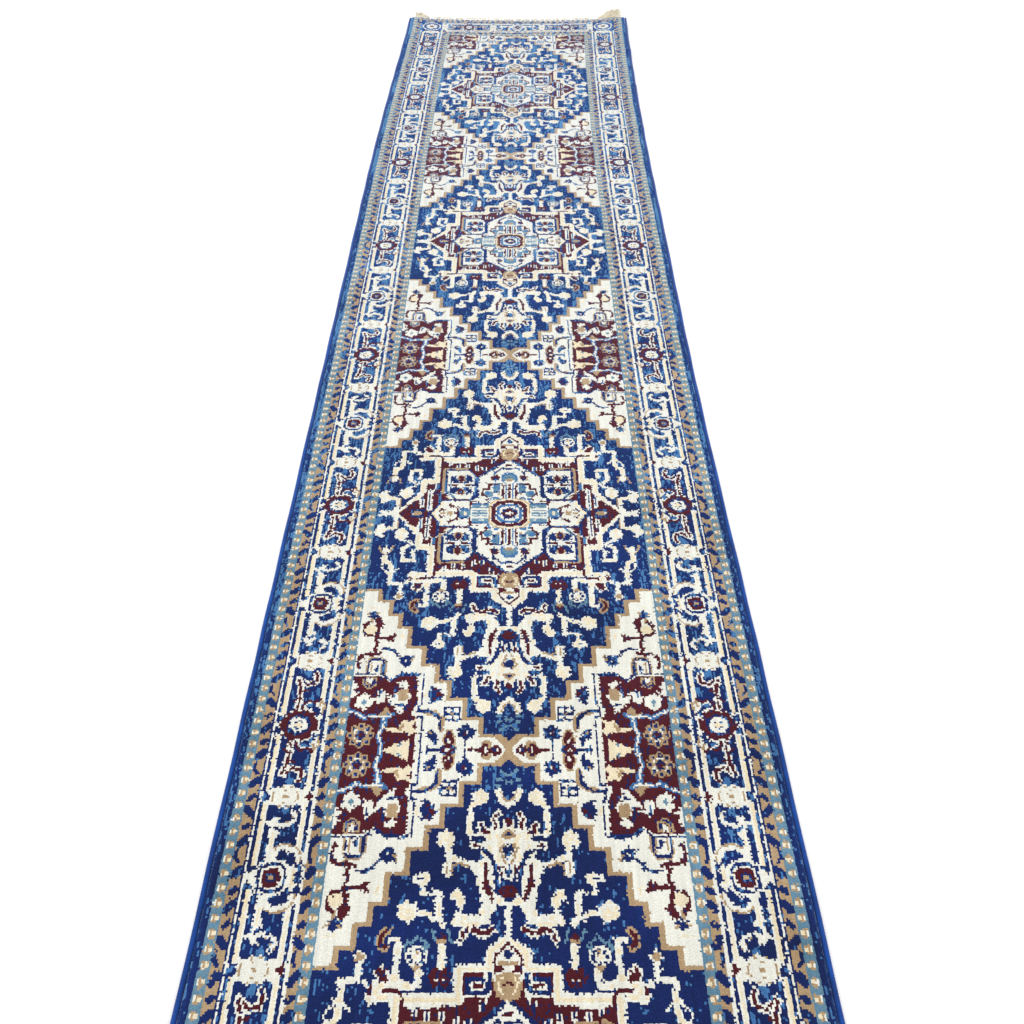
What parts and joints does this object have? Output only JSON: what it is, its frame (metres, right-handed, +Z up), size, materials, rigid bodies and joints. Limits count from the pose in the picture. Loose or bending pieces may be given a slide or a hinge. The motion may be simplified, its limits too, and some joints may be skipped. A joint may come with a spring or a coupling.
{
  "type": "runner rug",
  "caption": "Long narrow patterned pile rug with a woven ground, bordered field of medallions, overcast long edges and a knotted fringe at each end.",
  "frame": {"origin": "centre of the underside, on the floor", "axes": "+Y along the rug's length to its far end, +X across it to the right, +Z up out of the pile"},
  "size_m": [0.8, 4.036, 0.0106],
  "materials": {
    "jute": "coarse ribbed weave",
    "cotton": "plied yarn",
    "navy_pile": "cut pile",
    "sky_pile": "cut pile",
    "tan_pile": "cut pile",
    "ivory_pile": "cut pile",
    "butter_pile": "cut pile",
    "burgundy_pile": "cut pile",
    "overcast_yarn": "wrapped yarn"
  },
  "bodies": {
    "root": {"jute_weft_back": "jute", "stuffer_warp": "cotton", "jute_weft_face": "jute", "edge_band_navy": "navy_pile", "guard_sky": "sky_pile", "guard_tan": "tan_pile", "border_navy": "navy_pile", "border_white": "ivory_pile", "border_burgundy": "burgundy_pile", "field_navy": "navy_pile", "field_white": "ivory_pile", "field_tan": "tan_pile", "field_burgundy": "burgundy_pile", "field_butter": "butter_pile", "field_sky": "sky_pile", "selvedge_cord_left": "cotton", "selvedge_cord_right": "cotton", "overcast_left": "overcast_yarn", "overcast_right": "overcast_yarn", "end_web_near": "cotton", "end_web_far": "cotton", "hem_stitch_near": "cotton", "hem_stitch_far": "cotton", "fringe_near": "cotton", "fringe_far": "cotton"}
  },
  "joints": []
}
